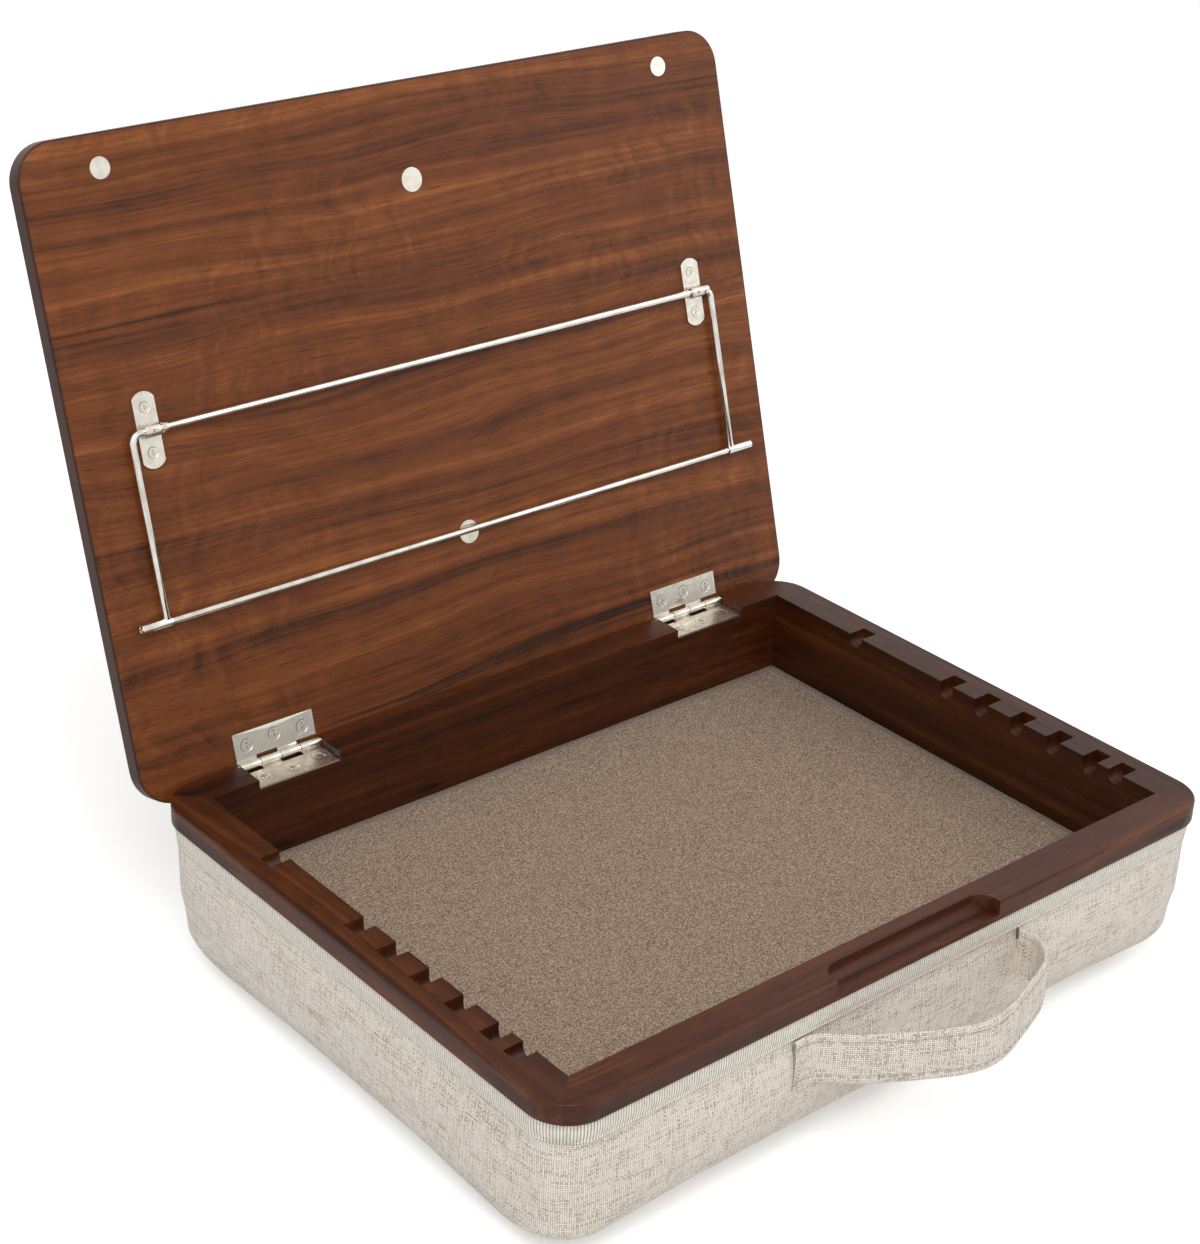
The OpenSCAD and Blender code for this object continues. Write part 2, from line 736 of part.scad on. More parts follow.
// A strap with rounded ends, lanced so that a bridge of its own metal holds the wire
module stand_bracket(side) {
    bridge_in = wire_r + bridge_clear;
    bridge_out = bridge_in + bracket_t;
    window_w = bridge_w + 2 * bridge_clear;
    color(nickel) on_open_lid() translate([side * bracket_x, pivot_y, leaf_off])
        mirror([0, 0, 1]) difference() {
            union() {
                difference() {
                    linear_extrude(bracket_t) intersection() {
                        square([bracket_w, bracket_l], center = true);
                        union() {
                            square([bracket_w, bracket_l - 2 * bracket_end_r], center = true);
                            for (s = sides) translate([0, s * (bracket_l / 2 - bracket_end_r)])
                                circle(r = bracket_end_r);
                        }
                    }
                    translate([-window_w / 2, -bridge_out, -overcut])
                        cube([window_w, 2 * bridge_out, bracket_t + 2 * overcut]);
                }
                translate([-bridge_w / 2, 0, 0]) rotate([90, 0, 90]) linear_extrude(bridge_w)
                    difference() {
                        union() {
                            translate([0, wire_drop]) circle(r = bridge_out);
                            translate([-bridge_out - eps, 0]) square([2 * bridge_out + 2 * eps, wire_drop]);
                        }
                        translate([0, wire_drop]) circle(r = bridge_in);
                        translate([-bridge_in, -overcut]) square([2 * bridge_in, wire_drop + overcut]);
                    }
            }
            translate([0, 0, wire_drop]) cylinder(h = bridge_out + overcut, r = dimple_r);
            for (s = sides) translate([0, s * bracket_screw_pitch / 2, bracket_t])
                screw_hole(head_r, bracket_t, screw_l);
        }
}

module bracket_screws() {
    color(nickel) on_open_lid() bracket_screw_places() screw(head_r, bracket_t, screw_l);
}

// Everything of the stand is drawn round its pivot, folded against the lid
module on_stand() {
    on_open_lid() translate([0, pivot_y, pivot_z]) children();
}

module stand_wire() {
    color(nickel) on_stand() {
        translate([-arm_x + bend_r, 0, 0]) rotate([0, 90, 0])
            cylinder(h = 2 * (arm_x - bend_r), r = wire_r);
        for (s = sides) {
            translate([s * (arm_x - bend_r), bend_r, 0]) rotate([0, 0, s > 0 ? -90 : 180])
                rotate_extrude(angle = 90) translate([bend_r, 0]) circle(r = wire_r);
            difference() {
                translate([s * arm_x, bend_r, 0]) rotate([-90, 0, 0])
                    cylinder(h = stand_l - bend_r, r = wire_r);
                translate([s * arm_x - 2 * wire_r, stand_l, 0]) rotate([0, 90, 0])
                    cylinder(h = 4 * wire_r, r = sleeve_r);
            }
        }
        for (s = sides) translate([s * bracket_x + bracket_w / 2 + crimp_gap, 0, 0])
            rotate([0, 90, 0]) cylinder(h = crimp_l, r = crimp_r);
    }
}

module cross_rod() {
    reach = sleeve_end - rod_recess;
    color(nickel) on_stand() translate([-reach, stand_l, 0]) rotate([0, 90, 0])
        cylinder(h = 2 * reach, r = wire_r - bridge_clear);
}

module rod_sleeves() {
    color(nickel) on_stand() for (s = sides)
        translate([s * (sleeve_start + sleeve_end) / 2, stand_l, 0]) rotate([0, 90, 0])
            difference() {
                cylinder(h = sleeve_end - sleeve_start, r = sleeve_r, center = true);
                cylinder(h = sleeve_end, r = wire_r, center = true);
            }
}

rim_rail_front();
rim_rail_back();
rim_rail_side(-1);  // rim_rail_left
rim_rail_side(1);  // rim_rail_right
floor_board();
floor_liner();
floor_screws();
cushion_core();
fabric_cover();
binding_tape();
carry_handle();
hinge_leaf_lower(-1);  // hinge_leaf_lower_left
hinge_leaf_lower(1);  // hinge_leaf_lower_right
hinge_pin(-1);  // hinge_pin_left
hinge_pin(1);  // hinge_pin_right
rail_hinge_screws();
strike_discs();
lid_panel();
hinge_leaf_upper(-1);  // hinge_leaf_upper_left
hinge_leaf_upper(1);  // hinge_leaf_upper_right
lid_hinge_screws();
catch_magnets();
stand_magnets();
stand_bracket(-1);  // stand_bracket_left
stand_bracket(1);  // stand_bracket_right
bracket_screws();
stand_wire();
cross_rod();
rod_sleeves();
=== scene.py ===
# %% [markdown]
# # Lap desk with a lift lid
# The CAD model is loaded as a fixed frame in metres. Its rails, lid and metal parts
# keep their shapes and get softened edges and finishes here. Its soft parts are
# modelled again as cloth: the cushion's cover, the tape, the strap and the lining.

# %% Load the frame
import json
import math
import bmesh
import bpy
from mathutils import Euler, Matrix, Vector, noise


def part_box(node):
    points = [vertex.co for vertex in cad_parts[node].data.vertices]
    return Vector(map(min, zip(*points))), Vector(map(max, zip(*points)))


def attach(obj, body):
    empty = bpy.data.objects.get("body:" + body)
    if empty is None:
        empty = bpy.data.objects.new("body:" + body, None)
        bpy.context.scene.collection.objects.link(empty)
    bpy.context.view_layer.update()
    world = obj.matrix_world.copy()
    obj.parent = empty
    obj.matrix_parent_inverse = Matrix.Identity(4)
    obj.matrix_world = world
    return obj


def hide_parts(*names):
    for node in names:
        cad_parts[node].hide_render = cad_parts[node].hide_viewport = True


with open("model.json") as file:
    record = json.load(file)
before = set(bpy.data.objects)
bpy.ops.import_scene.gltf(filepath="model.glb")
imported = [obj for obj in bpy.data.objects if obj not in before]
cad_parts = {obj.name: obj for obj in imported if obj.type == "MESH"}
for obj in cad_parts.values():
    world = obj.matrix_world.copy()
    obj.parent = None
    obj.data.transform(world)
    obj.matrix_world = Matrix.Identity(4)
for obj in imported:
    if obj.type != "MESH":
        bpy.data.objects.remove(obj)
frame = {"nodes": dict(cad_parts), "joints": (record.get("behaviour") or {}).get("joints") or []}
nodes = frame["nodes"]
scene = bpy.context.scene
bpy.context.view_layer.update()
MM = 0.001

# %% [markdown]
# ## Camera
# The view was fitted to the straight edges of the lid and the tray, whose real sizes
# are known. It is written as a place, two directions and a focal length in pixels, and
# the sensor's long side is the image's height.

# %% Camera
IMAGE_W, IMAGE_H = 1200, 1244
FOCAL_PX = 2468.068
CENTRE_PX = (592.965, 641.312)
RIGHT = Vector((0.76988, -0.63737, 0.0323))
FORWARD = Vector((0.57748, 0.67421, -0.46039))
CAMERA_PLACE = Vector((-0.668383, -0.708103, 0.66823))

camera_data = bpy.data.cameras.new("camera")
camera_data.sensor_width = 36
camera_data.lens = 36 * FOCAL_PX / IMAGE_H
camera_data.shift_x = (IMAGE_W / 2 - CENTRE_PX[0]) / IMAGE_H
camera_data.shift_y = (CENTRE_PX[1] - IMAGE_H / 2) / IMAGE_H
camera = bpy.data.objects.new("camera", camera_data)
scene.collection.objects.link(camera)
forward = FORWARD.normalized()
right = (RIGHT - forward * RIGHT.dot(forward)).normalized()
turn = Matrix((right, right.cross(forward), -forward)).transposed()
camera.matrix_world = Matrix.Translation(CAMERA_PLACE) @ turn.to_4x4()
scene.camera = camera
print("lens", round(camera_data.lens, 2), "mm")

# %% [markdown]
# ## Building materials from nodes
# A shader is a graph of small nodes. The helper below adds nodes to one graph and joins
# them, so that a material reads as a few lines of arithmetic on textures.

# %% Shader helpers
class Graph:
    """Adds shader nodes to one tree. A value is a number, a colour or another node's socket."""

    def __init__(self, tree):
        self.tree = tree

    def node(self, kind, **settings):
        made = self.tree.nodes.new("ShaderNode" + kind)
        for name, value in settings.items():
            setattr(made, name, value)
        return made

    def feed(self, socket, value):
        if isinstance(value, bpy.types.NodeSocket):
            self.tree.links.new(value, socket)
        else:
            socket.default_value = value

    def math(self, kind, a, b=0.5):
        made = self.node("Math", operation=kind)
        self.feed(made.inputs[0], a)
        self.feed(made.inputs[1], b)
        return made.outputs[0]

    def add(self, a, b):
        return self.math("ADD", a, b)

    def times(self, a, b):
        return self.math("MULTIPLY", a, b)

    def split(self, vector):
        made = self.node("SeparateXYZ")
        self.feed(made.inputs[0], vector)
        return made.outputs[0], made.outputs[1], made.outputs[2]

    def join(self, x, y, z=0.0):
        made = self.node("CombineXYZ")
        for socket, value in zip(made.inputs, (x, y, z)):
            self.feed(socket, value)
        return made.outputs[0]

    def placed(self, vector, scale=(1, 1, 1), turn=(0, 0, 0), move=(0, 0, 0)):
        made = self.node("Mapping")
        self.feed(made.inputs["Vector"], vector)
        made.inputs["Scale"].default_value = scale
        made.inputs["Rotation"].default_value = turn
        made.inputs["Location"].default_value = move
        return made.outputs[0]

    def noise(self, vector, detail=2.0, roughness=0.5):
        made = self.node("TexNoise")
        self.feed(made.inputs["Vector"], vector)
        made.inputs["Scale"].default_value = 1.0
        made.inputs["Detail"].default_value = detail
        made.inputs["Roughness"].default_value = roughness
        return made.outputs["Fac"]

    def step(self, value, low, high, out_low=0.0, out_high=1.0):
        """A smooth change from out_low to out_high while value goes from low to high."""
        made = self.node("MapRange", interpolation_type="SMOOTHSTEP")
        for socket, number in zip(made.inputs, (value, low, high, out_low, out_high)):
            self.feed(socket, number)
        return made.outputs[0]

    def mix(self, share, a, b, blend="MIX"):
        """A colour mix. This node keeps its colour sockets at places 6 and 7, and its result at 2."""
        made = self.node("Mix", data_type="RGBA", blend_type=blend)
        self.feed(made.inputs[0], share)
        self.feed(made.inputs[6], a)
        self.feed(made.inputs[7], b)
        return made.outputs[2]

    def ramp(self, value, stops):
        made = self.node("ValToRGB")
        self.feed(made.inputs[0], value)
        points = made.color_ramp.elements
        while len(points) < len(stops):
            points.new(0.5)
        for point, (place, colour) in zip(points, stops):
            point.position = place
            point.color = colour
        return made.outputs[0]


def rgb(red, green, blue):
    """A colour given in screen values from 0 to 255, as the light values that nodes use."""
    # This is the sRGB curve. Its darkest end is a straight line
    return tuple(((v / 255 + 0.055) / 1.055) ** 2.4 if v > 10 else v / 3294.6
                 for v in (red, green, blue)) + (1.0,)


def new_group(name, inputs, outputs):
    """An empty node group with the named sockets, its graph, and its two end nodes."""
    tree = bpy.data.node_groups.new(name, "ShaderNodeTree")
    for label, kind, value in inputs:
        socket = tree.interface.new_socket(label, in_out="INPUT", socket_type="NodeSocket" + kind)
        if value is not None:
            socket.default_value = value
    for label, kind in outputs:
        tree.interface.new_socket(label, in_out="OUTPUT", socket_type="NodeSocket" + kind)
    graph = Graph(tree)
    return graph, tree.nodes.new("NodeGroupInput").outputs, tree.nodes.new("NodeGroupOutput").inputs


class Finish:
    """A material with its main shader, to which groups and textures are joined."""

    def __init__(self, name, **constants):
        self.material = bpy.data.materials.new(name)
        self.material.use_nodes = True
        self.graph = Graph(self.material.node_tree)
        self.shader = self.material.node_tree.nodes["Principled BSDF"]
        for label, value in constants.items():
            self.shader.inputs[label.replace("_", " ")].default_value = value

    def use(self, group, **values):
        made = self.graph.node("Group")
        made.node_tree = group.tree
        for label, value in values.items():
            self.graph.feed(made.inputs[label.replace("_", " ")], value)
        return made.outputs

    def feed(self, label, value):
        self.graph.feed(self.shader.inputs[label], value)

    def bump(self, height, distance, strength=1.0):
        made = self.graph.node("Bump")
        made.inputs["Strength"].default_value = strength
        made.inputs["Distance"].default_value = distance
        self.graph.feed(made.inputs["Height"], height)
        self.feed("Normal", made.outputs[0])

    def object_place(self):
        return self.graph.node("TexCoord").outputs["Object"]

    def cloth_place(self):
        return self.graph.node("UVMap", uv_map="cloth").outputs[0]

    def speckle(self, per_metre, detail=2.0, roughness=0.6):
        """Noise with the same scale in every direction."""
        place = self.graph.placed(self.object_place(), scale=(per_metre,) * 3)
        return self.graph.noise(place, detail, roughness)


print("shader helpers ready")

# %% [markdown]
# ## Stained wood
# The boards are a reddish-brown stained hardwood with a satin varnish. Grain is noise
# that is stretched along one axis: broad tonal bands, finer streaks inside them, and
# short dark pores. A curly figure crosses part of the lid, as light and dark ripples
# at right angles to the grain.

# %% Wood grain
def wood_grain_group():
    g, given, result = new_group(
        "wood grain",
        [("Place", "Vector", None), ("Seed", "Float", 0.0), ("Curl", "Float", 0.0),
         ("Dark", "Color", rgb(60, 28, 14)), ("Middle", "Color", rgb(112, 62, 34)),
         ("Light", "Color", rgb(158, 98, 58))],
        [("Color", "Color"), ("Roughness", "Float"), ("Height", "Float")])
    x, y, z = g.split(given["Place"])
    shift = g.join(g.times(given["Seed"], 0.37), g.times(given["Seed"], 0.53), given["Seed"])
    def along(x_scale, y_scale, z_scale, vector):
        moved = g.node("VectorMath", operation="ADD")
        g.feed(moved.inputs[0], vector)
        g.feed(moved.inputs[1], shift)
        return g.placed(moved.outputs[0], scale=(x_scale, y_scale, z_scale))
    # The grain wanders a little from side to side along the board
    wander = g.noise(along(3.2, 9, 9, given["Place"]), 2.0, 0.45)
    y_grain = g.add(y, g.times(g.math("SUBTRACT", wander, 0.5), 0.045))
    grain = g.join(x, y_grain, z)
    bands = g.noise(along(1.1, 42, 42, grain), 3.0, 0.55)
    streaks = g.noise(along(2.6, 210, 210, grain), 4.0, 0.62)
    fibres = g.noise(along(26, 1500, 1500, grain), 2.0, 0.6)
    pores = g.step(g.noise(along(70, 1900, 1900, grain), 1.0, 0.5), 0.60, 0.72)
    mottle = g.noise(along(55, 95, 95, given["Place"]), 3.0, 0.6)
    # Ripples across the grain, strongest in patches
    ripple_x = g.add(g.times(x, 150.0), g.times(g.noise(along(30, 60, 60, given["Place"]), 2.0), 5.0))
    ripple = g.noise(g.join(ripple_x, g.times(y, 22.0), z), 2.0, 0.6)
    patch = g.step(g.noise(along(5, 26, 26, given["Place"]), 1.0), 0.42, 0.60)
    curl = g.times(g.times(g.math("SUBTRACT", ripple, 0.5), patch), given["Curl"])
    tone = g.add(g.times(g.math("SUBTRACT", bands, 0.5), 1.0), 0.5)
    tone = g.add(tone, g.times(g.math("SUBTRACT", streaks, 0.5), 1.0))
    tone = g.add(tone, g.times(g.math("SUBTRACT", fibres, 0.5), 0.34))
    tone = g.add(tone, g.times(g.math("SUBTRACT", mottle, 0.5), 0.36))
    tone = g.add(tone, curl)
    lines = g.step(g.noise(along(1.6, 120, 120, grain), 2.0, 0.5), 0.62, 0.72)
    tone = g.math("SUBTRACT", tone, g.times(lines, 0.30))
    low = g.mix(g.step(tone, 0.05, 0.55), given["Dark"], given["Middle"])
    colour = g.mix(g.step(tone, 0.45, 1.05), low, given["Light"])
    colour = g.mix(g.times(pores, 0.45), colour, given["Dark"])
    g.feed(result["Color"], colour)
    g.feed(result["Roughness"], g.add(0.34, g.add(g.times(streaks, 0.12), g.times(pores, 0.12))))
    g.feed(result["Height"], g.math("SUBTRACT", g.times(fibres, 0.35), pores))
    return g


wood_grain = wood_grain_group()
lid_joint = frame["joints"][0]
AXIS = Vector(lid_joint["pos_m"])
LID_OPEN = math.radians(lid_joint["range_deg"][1])
QUARTER = math.pi / 2


def edge_share(g, place, half_x, half_y, middle_y, radius):
    """Near one on the outer edge of a round-cornered board, and zero on its faces."""
    x, y, _ = g.split(place)
    past_x = g.math("MAXIMUM", g.math("SUBTRACT", g.math("ABSOLUTE", x), half_x - radius), 0.0)
    y_off = g.math("ABSOLUTE", g.math("SUBTRACT", y, middle_y))
    past_y = g.math("MAXIMUM", g.math("SUBTRACT", y_off, half_y - radius), 0.0)
    reach = g.math("SQRT", g.add(g.times(past_x, past_x), g.times(past_y, past_y)))
    return g.step(reach, radius - 1.3 * MM, radius - 0.4 * MM, 0.0, 0.85)


def wood(name, seed, turn=(0, 0, 0), move=(0, 0, 0), curl=0.0, outline=None, **colours):
    made = Finish(name, Specular_IOR_Level=0.22, Coat_Weight=0.05, Coat_Roughness=0.22)
    place = made.graph.placed(made.object_place(), turn=turn, move=move)
    grain = made.use(wood_grain, Place=place, Seed=seed, Curl=curl, **colours)
    shade = grain["Color"]
    if outline:
        shade = made.graph.mix(edge_share(made.graph, place, *outline), shade, rgb(44, 22, 16))
    made.feed("Base Color", shade)
    made.feed("Roughness", grain["Roughness"])
    made.bump(grain["Height"], 0.00012, 0.5)
    return made.material


# The open lid's material is turned back as if the lid were shut, and starts at the hinge
lid_turn = (LID_OPEN, 0, 0)
lid_move = -(Euler(lid_turn).to_matrix() @ AXIS)
LID_HALF_X, LID_HALF_Y, LID_CORNER_R = 199.4 * MM, 150.15 * MM, 18 * MM
LID_MIDDLE_Y = 1.35 * MM - AXIS.y
lid_outline = (LID_HALF_X, LID_HALF_Y, LID_MIDDLE_Y, LID_CORNER_R)
lid_wood = wood("lid wood", 3.0, lid_turn, lid_move, curl=0.5, outline=lid_outline,
                Dark=rgb(46, 20, 5), Middle=rgb(108, 56, 22), Light=rgb(160, 96, 48))
long_rail_wood = wood("long rail wood", 11.0, Dark=rgb(30, 12, 4), Middle=rgb(74, 34, 12),
                      Light=rgb(120, 64, 27))
side_rail_wood = wood("side rail wood", 17.0, turn=(0, 0, QUARTER), Dark=rgb(26, 10, 3),
                      Middle=rgb(62, 28, 9), Light=rgb(104, 55, 22))
print("wood ready")

# %% [markdown]
# ## Metals
# Hinges, brackets and magnets are satin nickel: a metal with a broad, slightly uneven
# reflection. The stand's wire is brighter, so it mirrors the wood as a dark stripe.

# %% Metal finishes
def metal(name, colour, rough_low, rough_high, mottle=260.0, dent=0.00004):
    """The mottling is given per metre, and the depth of the fine dents in metres."""
    made = Finish(name, Metallic=1.0)
    cloud = made.speckle(mottle, 3.0)
    fine = made.speckle(2600)
    tint = made.graph.mix(made.graph.step(cloud, 0.3, 0.75), colour, rgb(206, 199, 187))
    made.feed("Base Color", tint)
    made.feed("Roughness", made.graph.step(cloud, 0.25, 0.75, rough_low, rough_high))
    made.bump(fine, dent, 0.35)
    return made.material


satin_nickel = metal("satin nickel", rgb(226, 221, 210), 0.24, 0.38)
bright_nickel = metal("bright nickel", rgb(235, 232, 225), 0.07, 0.14, 120.0, 0.00001)
plain_steel = metal("plain steel", rgb(190, 188, 184), 0.35, 0.5)
print("metals ready")

# %% [markdown]
# ## Cloth
# Each cloth piece carries a map named "cloth" that gives every point its place on the
# flat cloth in metres. The weave is drawn on that map, so the threads follow the piece
# round its corners. The lining, the thread and the hidden plywood use plain noise.

# %% Cloth, lining, thread and plywood
def weave_group():
    """A plain weave: threads cross over and under and vary in colour along their length. Painted shade
    darkens the low gaps between them.
    """
    g, given, result = new_group(
        "plain weave",
        [("Place", "Vector", None), ("Pitch", "Float", 0.00095), ("Light", "Color", rgb(250, 244, 235)),
         ("Dark", "Color", rgb(186, 171, 152))],
        [("Color", "Color"), ("Height", "Float")])
    u, v, _ = g.split(given["Place"])
    warp = g.math("DIVIDE", u, given["Pitch"])
    weft = g.math("DIVIDE", v, given["Pitch"])
    warp_no, weft_no = g.math("FLOOR", warp), g.math("FLOOR", weft)
    across_warp = g.math("SINE", g.times(g.math("FRACT", warp), math.pi))
    across_weft = g.math("SINE", g.times(g.math("FRACT", weft), math.pi))
    over = g.math("FLOORED_MODULO", g.add(warp_no, weft_no), 2.0)
    warp_high = g.times(across_warp, g.add(0.45, g.times(across_weft, 0.55)))
    weft_high = g.times(across_weft, g.add(0.45, g.times(across_warp, 0.55)))
    height = g.add(g.times(over, warp_high), g.times(g.math("SUBTRACT", 1.0, over), weft_high))
    # A thread's own shade, with slubs that run along it
    warp_shade = g.noise(g.join(g.times(warp_no, 7.31), g.times(v, 120.0), 3.0), 3.0, 0.65)
    weft_shade = g.noise(g.join(g.times(u, 65.0), g.times(weft_no, 5.77), 9.0), 3.0, 0.65)
    shade = g.add(g.times(over, warp_shade), g.times(g.math("SUBTRACT", 1.0, over), weft_shade))
    cloud = g.noise(g.join(g.times(u, 25.0), g.times(v, 60.0), 5.0), 2.0, 0.5)
    shade = g.add(g.times(shade, 0.93), g.times(cloud, 0.07))
    colour = g.mix(g.step(shade, 0.30, 0.56), given["Dark"], given["Light"])
    # Painted shade: the low places between the threads are darkened, as shade would fall between them.
    gap = g.step(height, 0.15, 0.62, 0.75, 0.0)
    colour = g.mix(gap, colour, rgb(166, 146, 124), "MULTIPLY")
    g.feed(result["Color"], colour)
    g.feed(result["Height"], g.times(height, g.add(0.7, g.times(shade, 0.6))))
    return g


def twill_group():
    """Ribbed tape: raised cords across its width, bound by fine crossing threads. Painted shade darkens the
    grooves between the cords.
    """
    g, given, result = new_group(
        "ribbed tape",
        [("Place", "Vector", None), ("Pitch", "Float", 0.0013), ("Light", "Color", rgb(244, 237, 226)),
         ("Dark", "Color", rgb(142, 131, 117))],
        [("Color", "Color"), ("Height", "Float")])
    u, v, _ = g.split(given["Place"])
    rib = g.math("SINE", g.times(g.math("FRACT", g.math("DIVIDE", u, given["Pitch"])), math.pi))
    binder = g.math("SINE", g.times(g.math("FRACT", g.math("DIVIDE", v, 0.00115)), math.pi))
    height = g.math("MAXIMUM", rib, g.times(binder, 0.55))
    shade = g.noise(g.join(g.times(u, 300.0), g.times(v, 300.0), 2.0), 3.0, 0.6)
    # Painted shade: the grooves between the cords take the dark colour and the cords' tops the light one.
    colour = g.mix(g.step(height, 0.30, 0.72), given["Dark"], given["Light"])
    colour = g.mix(g.step(shade, 0.35, 0.75, 0.0, 0.25), colour, given["Dark"])
    g.feed(result["Color"], colour)
    g.feed(result["Height"], height)
    return g


plain_weave = weave_group()
ribbed_tape = twill_group()


def woven(name, group, depth, **values):
    made = Finish(name, Roughness=0.88, Specular_IOR_Level=0.25, Sheen_Weight=0.18, Sheen_Roughness=0.5)
    cloth = made.use(group, Place=made.cloth_place(), **values)
    made.feed("Base Color", cloth["Color"])
    made.bump(cloth["Height"], depth, 0.8)
    return made.material


THREAD = 0.95 * MM
linen = woven("oatmeal linen", plain_weave, 0.0003, Pitch=THREAD)
twill = woven("ribbed twill tape", ribbed_tape, 0.0004)


def speckled_felt():
    made = Finish("speckled lining", Roughness=0.95, Specular_IOR_Level=0.15, Sheen_Weight=0.1)
    grains = made.speckle(2100, roughness=0.75)
    flakes = made.speckle(1050)
    mixed = made.graph.add(made.graph.times(grains, 0.65), made.graph.times(flakes, 0.35))
    made.feed("Base Color", made.graph.ramp(mixed, [
        (0.38, rgb(88, 70, 54)), (0.50, rgb(142, 122, 103)), (0.62, rgb(190, 171, 151))]))
    made.bump(grains, 0.0002, 0.6)
    return made.material


lining = speckled_felt()


def plain_thread(name, colour):
    made = Finish(name, Roughness=0.8, Sheen_Weight=0.2)
    twist = made.speckle(2500)
    worn = made.graph.step(twist, 0.3, 0.7)
    made.feed("Base Color", made.graph.mix(worn, colour, rgb(150, 138, 120)))
    made.bump(twist, 0.0001, 0.6)
    return made.material


thread = plain_thread("sewing thread", rgb(226, 218, 204))
# Painted shadow: a dark finish for the spindle that stands in for the shade inside the strap's slot.
slot_shadow_finish = plain_thread("painted shadow inside the slot", rgb(40, 31, 24))


def plywood_finish():
    made = Finish("plywood", Roughness=0.7)
    place = made.object_place()
    # One light and one dark ply take up 1.3 mm of height
    plies = made.graph.math("SINE", made.graph.times(made.graph.split(place)[2], 4700.0))
    grain = made.graph.noise(made.graph.placed(place, scale=(20, 300, 300)), 3.0, 0.6)
    tone = made.graph.add(made.graph.times(grain, 0.7), made.graph.times(plies, 0.15))
    made.feed("Base Color", made.graph.ramp(tone, [(0.2, rgb(150, 112, 70)), (0.6, rgb(214, 182, 134))]))
    made.bump(grain, 0.0001, 0.4)
    return made.material


plywood = plywood_finish()
print("cloth ready")

# %% [markdown]
# ## Wooden and metal parts
# These come from the CAD model. Its meshes are sharp, so each part that shows gets a Weld
# modifier, which joins the loose triangles, and a Bevel modifier, which rounds the edges
# as sandpaper or a tumbler would. The meshes themselves aren't changed.

# %% Finish the CAD parts
SAME_PLACE = 1e-6
SHARP_DEGREES = 35
WOOD_EDGE = 0.0004
PLYWOOD_EDGE = 0.0003
SHEET_METAL_EDGE = 0.00012
SCREW_EDGE = 0.00008
ROD_EDGE = 0.00015


def soften(node, width):
    weld = node.modifiers.new("join triangles", "WELD")
    weld.merge_threshold = SAME_PLACE
    bevel = node.modifiers.new("eased edges", "BEVEL")
    bevel.width = width
    bevel.segments = 2
    bevel.limit_method = "ANGLE"
    bevel.angle_limit = math.radians(SHARP_DEGREES)


def dress(names, material, width=0.0):
    for name in names:
        node = nodes[name]
        node.data.materials.clear()
        node.data.materials.append(material)
        if width:
            soften(node, width)


dress(["lid_panel"], lid_wood, WOOD_EDGE)
dress(["rim_rail_front", "rim_rail_back"], long_rail_wood, WOOD_EDGE)
dress(["rim_rail_left", "rim_rail_right"], side_rail_wood, WOOD_EDGE)
dress(["floor_board"], plywood, PLYWOOD_EDGE)
dress(["hinge_leaf_lower_left", "hinge_leaf_lower_right", "hinge_leaf_upper_left",
       "hinge_leaf_upper_right", "hinge_pin_left", "hinge_pin_right", "stand_bracket_left",
       "stand_bracket_right", "catch_magnets", "stand_magnets"], satin_nickel, SHEET_METAL_EDGE)
dress(["rail_hinge_screws", "lid_hinge_screws", "bracket_screws"], satin_nickel, SCREW_EDGE)
dress(["stand_wire", "cross_rod", "rod_sleeves"], bright_nickel, ROD_EDGE)
dress(["strike_discs", "floor_screws"], plain_steel)
print("CAD parts dressed")

# %% [markdown]
# ## Cushion cover
# A linen cover is pulled over the tray's sides and a stuffed cushion. It is drawn as
# rings of points round the desk, from the top of the sides down to the underside, and
# then blown up a little by a cloth simulation, as stuffing presses on a sewn cover.

# %% Rings round the desk
SIDE_X, SIDE_Y, COVER_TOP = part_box("fabric_cover")[1]
BOARD_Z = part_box("floor_board")[0].z
CORNER_R = 17.8 * MM
FOOT_R = 33 * MM
TAPER = 1.5 * MM
EDGE_H, EDGE_SIDE_W, EDGE_FRONT_W = 19 * MM, 14 * MM, 36 * MM
CROWN_H, CROWN_W = 1.2 * MM, 34 * MM
COVER_T = 1.2 * MM
SPACING = 4.5 * MM
CORNER_STEPS = 8
TAPER_ROWS, EDGE_ROWS, CROWN_ROWS = 5, 12, 6
CORNER_SIGNS = ((1, 1), (-1, 1), (-1, -1), (1, -1))


def corner_point(corner, angle, inset_x, inset_y, radius):
    sign_x, sign_y = CORNER_SIGNS[corner]
    a = math.radians(corner * 90 + angle)
    return Vector((sign_x * (SIDE_X - inset_x - radius) + radius * math.cos(a),
                   sign_y * (SIDE_Y - inset_y - radius) + radius * math.sin(a)))


def ring_columns(spacing, turn_steps):
    """Each column is a corner, a turn within it, and a share of the straight side after it."""
    columns = []
    for corner in range(4):
        columns += [(corner, 90 * i / turn_steps, 0.0) for i in range(turn_steps)]
        side = 2 * (SIDE_X if corner % 2 == 0 else SIDE_Y) - 2 * CORNER_R
        steps = max(1, round(side / spacing))
        columns += [(corner, 90.0, i / steps) for i in range(steps)]
    return columns


def ring_point(column, inset_x, inset_y, radius):
    corner, angle, share = column
    start = corner_point(corner, angle, inset_x, inset_y, radius)
    if share == 0.0:
        return start
    end = corner_point((corner + 1) % 4, 0, inset_x, inset_y, radius)
    return start.lerp(end, share)


def ring_lengths(points):
    """Distances along a closed ring, ending with its whole length."""
    total, lengths = 0.0, [0.0]
    for i, point in enumerate(points):
        total += (points[(i + 1) % len(points)] - point).length
        lengths.append(total)
    return lengths


